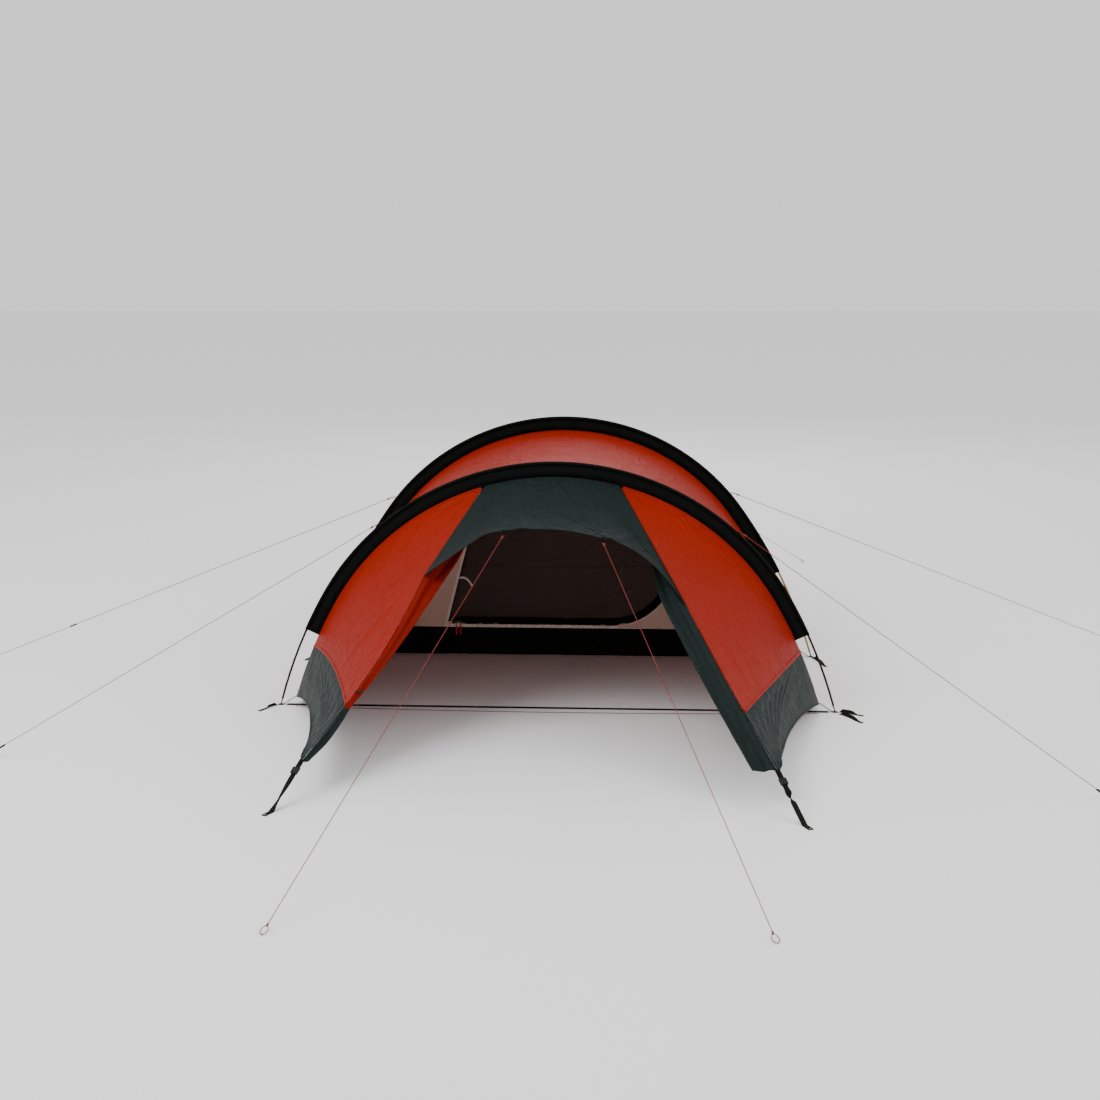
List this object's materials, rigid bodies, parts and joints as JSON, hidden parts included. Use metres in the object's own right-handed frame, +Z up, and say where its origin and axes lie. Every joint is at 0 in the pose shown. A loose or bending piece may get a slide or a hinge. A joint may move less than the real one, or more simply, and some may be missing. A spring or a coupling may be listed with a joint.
{
  "type": "tunnel tent",
  "caption": "Pitched tunnel tent with arched poles in sleeves, a porch held open by guy lines, and a hanging inner tent with a mesh door.",
  "frame": {"origin": "centre of the groundsheet's underside, on the ground", "axes": "+Z up, +X to the right of a person facing the foot end, -Y out of the porch"},
  "size_m": [5.089, 5.3213, 1.0668],
  "materials": {
    "fly_orange": "woven nylon, satin",
    "fly_grey": "woven nylon, satin",
    "sleeve_black": "woven polyester, matt",
    "pole_aluminium": "dark anodised",
    "black_plastic": "moulded acetal",
    "dark_metal": "dark plated",
    "red_tape": "woven tape",
    "elastic": "sheathed elastic",
    "guy_cord": "braided cord",
    "webbing_black": "woven webbing",
    "groundsheet_black": "coated polyester",
    "inner_taupe": "breathable polyester",
    "mesh_dark": "fine netting",
    "zip_black": "zip tape and flap",
    "tape_cream": "woven tape"
  },
  "bodies": {
    "tent": {"back_foot_straps": "webbing_black", "base_strap": "webbing_black", "door_seam_tape": "tape_cream", "door_toggle": "black_plastic", "fly_cabin": "fly_orange", "fly_porch": "fly_orange", "fly_tail": "fly_orange", "fly_tail_end": "fly_orange", "foot_plates": "webbing_black", "foot_tensioners": "webbing_black", "front_left_foot_strap": "webbing_black", "front_left_guy": "guy_cord", "front_pole_sections": "pole_aluminium", "front_right_foot_straps": "webbing_black", "front_right_guy": "guy_cord", "front_sleeve": "sleeve_black", "groundsheet": "groundsheet_black", "guy_tabs": "webbing_black", "hood": "fly_grey", "hood_left_guy": "guy_cord", "hood_right_guy": "guy_cord", "inner_body": "inner_taupe", "inner_foot_wall": "inner_taupe", "inner_front_wall": "inner_taupe", "inner_hangers": "elastic", "left_corner_patch": "fly_grey", "left_corner_strap": "webbing_black", "left_edge_strip": "fly_orange", "left_porch_panel": "fly_orange", "mid_left_guy": "guy_cord", "mid_pole_sections": "pole_aluminium", "mid_right_guy": "guy_cord", "mid_sleeve": "sleeve_black", "pole_ferrules": "pole_aluminium", "pole_shock_cords": "elastic", "pole_tips": "pole_aluminium", "porch_cord": "guy_cord", "rear_left_guy": "guy_cord", "rear_pole_sections": "pole_aluminium", "rear_right_guy": "guy_cord", "rear_sleeve": "sleeve_black", "right_corner_patch": "fly_grey", "right_corner_strap": "webbing_black", "right_porch_panel": "fly_orange", "rolled_door_strip": "fly_grey", "tail_peg_straps": "webbing_black"},
    "inner_door": {"inner_door": "mesh_dark", "inner_door_zip": "zip_black", "tie_back": "tape_cream"},
    "first_slider": {"first_slider": "dark_metal"},
    "first_pull": {"first_pull": "red_tape"},
    "second_slider": {"second_slider": "dark_metal"},
    "second_pull": {"second_pull": "red_tape"},
    "front_left_runner": {"front_left_runner": "black_plastic"},
    "front_right_runner": {"front_right_runner": "black_plastic"},
    "mid_left_runner": {"mid_left_runner": "black_plastic"},
    "mid_right_runner": {"mid_right_runner": "black_plastic"},
    "left_corner_buckle": {"left_corner_buckle": "black_plastic"},
    "right_corner_buckle": {"right_corner_buckle": "black_plastic"}
  },
  "joints": [
    {"name": "inner_door_swing", "type": "hinge", "parent": "tent", "child": "inner_door", "pos_m": [-0.523, -1.053, 0.15], "axis": [-0.2567, 0, -0.9665], "range_deg": [0, 70]},
    {"name": "first_slider_travel", "type": "slide", "parent": "inner_door", "child": "first_slider", "axis": [1, 0, 0], "range_m": [0, 0.008]},
    {"name": "first_pull_swing", "type": "hinge", "parent": "first_slider", "child": "first_pull", "pos_m": [-0.484, -1.0578, 0.142], "axis": [-1, 0, 0], "range_deg": [0, 80]},
    {"name": "second_slider_travel", "type": "slide", "parent": "inner_door", "child": "second_slider", "axis": [1, 0, 0], "range_m": [0, 0.66]},
    {"name": "second_pull_swing", "type": "hinge", "parent": "second_slider", "child": "second_pull", "pos_m": [-0.466, -1.0578, 0.142], "axis": [-1, 0, 0], "range_deg": [0, 80]},
    {"name": "front_left_runner_slide", "type": "slide", "parent": "tent", "child": "front_left_runner", "axis": [0.7931, 0.4212, 0.44], "range_m": [0, 1.2]},
    {"name": "front_right_runner_slide", "type": "slide", "parent": "tent", "child": "front_right_runner", "axis": [-0.6947, 0.5827, 0.4217], "range_m": [0, 1.2]},
    {"name": "mid_left_runner_slide", "type": "slide", "parent": "tent", "child": "mid_left_runner", "axis": [0.923, 0.1311, 0.3619], "range_m": [-0.32, 0.9]},
    {"name": "mid_right_runner_slide", "type": "slide", "parent": "tent", "child": "mid_right_runner", "axis": [-0.915, -0.1513, 0.3741], "range_m": [0, 1.2]},
    {"name": "left_corner_buckle_slide", "type": "slide", "parent": "tent", "child": "left_corner_buckle", "axis": [-0.3495, -0.7001, -0.6226], "range_m": [0, 0.09]},
    {"name": "right_corner_buckle_slide", "type": "slide", "parent": "tent", "child": "right_corner_buckle", "axis": [0.3522, -0.7073, -0.6129], "range_m": [0, 0.09]}
  ]
}
